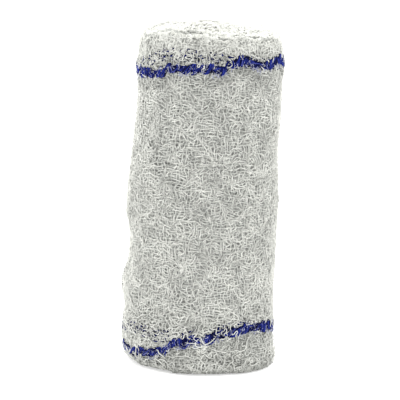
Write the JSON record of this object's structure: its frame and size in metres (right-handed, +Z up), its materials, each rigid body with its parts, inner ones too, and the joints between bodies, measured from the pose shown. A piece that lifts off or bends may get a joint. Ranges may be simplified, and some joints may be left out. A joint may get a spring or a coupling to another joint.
{
  "type": "crepe bandage roll",
  "caption": "Crepe bandage strip wound into a soft round roll and stood on its end, with a coloured thread woven in near each edge.",
  "frame": {"origin": "middle of the roll's lower end, on the surface it stands on", "axes": "+Z up along the roll's axis; the side seen from the front faces -Y and the strip's loose end lies on the left, a little behind"},
  "size_m": [0.0474, 0.0466, 0.1026],
  "materials": {
    "crepe_cloth": "matte, off-white crinkled cotton"
  },
  "bodies": {
    "root": {"bandage_roll": "crepe_cloth"}
  },
  "joints": []
}
